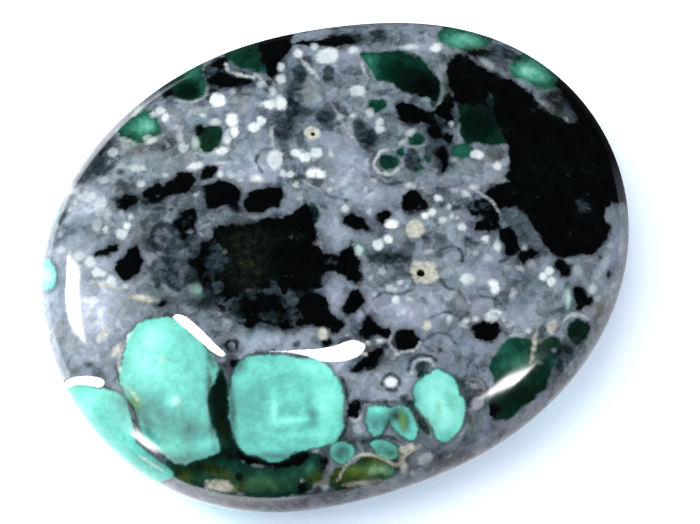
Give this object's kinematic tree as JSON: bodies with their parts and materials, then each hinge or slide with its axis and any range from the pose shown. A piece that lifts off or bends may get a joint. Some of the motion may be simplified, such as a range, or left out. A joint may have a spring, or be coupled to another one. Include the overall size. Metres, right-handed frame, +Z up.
{
  "type": "polished stone",
  "caption": "Polished freeform oval pebble of grey chalcedony with sections of small clams replaced by green variscite, low domed face, rounded edge, resting on a small flat.",
  "frame": {"origin": "middle of the footprint's box, on the surface that the stone lies on", "axes": "+Z up out of the domed show face, +X along the long axis of the oval, towards its rounder end, +Y across it, away from the viewer"},
  "size_m": [0.0392, 0.0328, 0.0077],
  "materials": {
    "polished_stone": "high polish, grey and black chalcedony with pale aqua to dark green variscite"
  },
  "bodies": {
    "root": {"polished_stone": "polished_stone"}
  },
  "joints": []
}
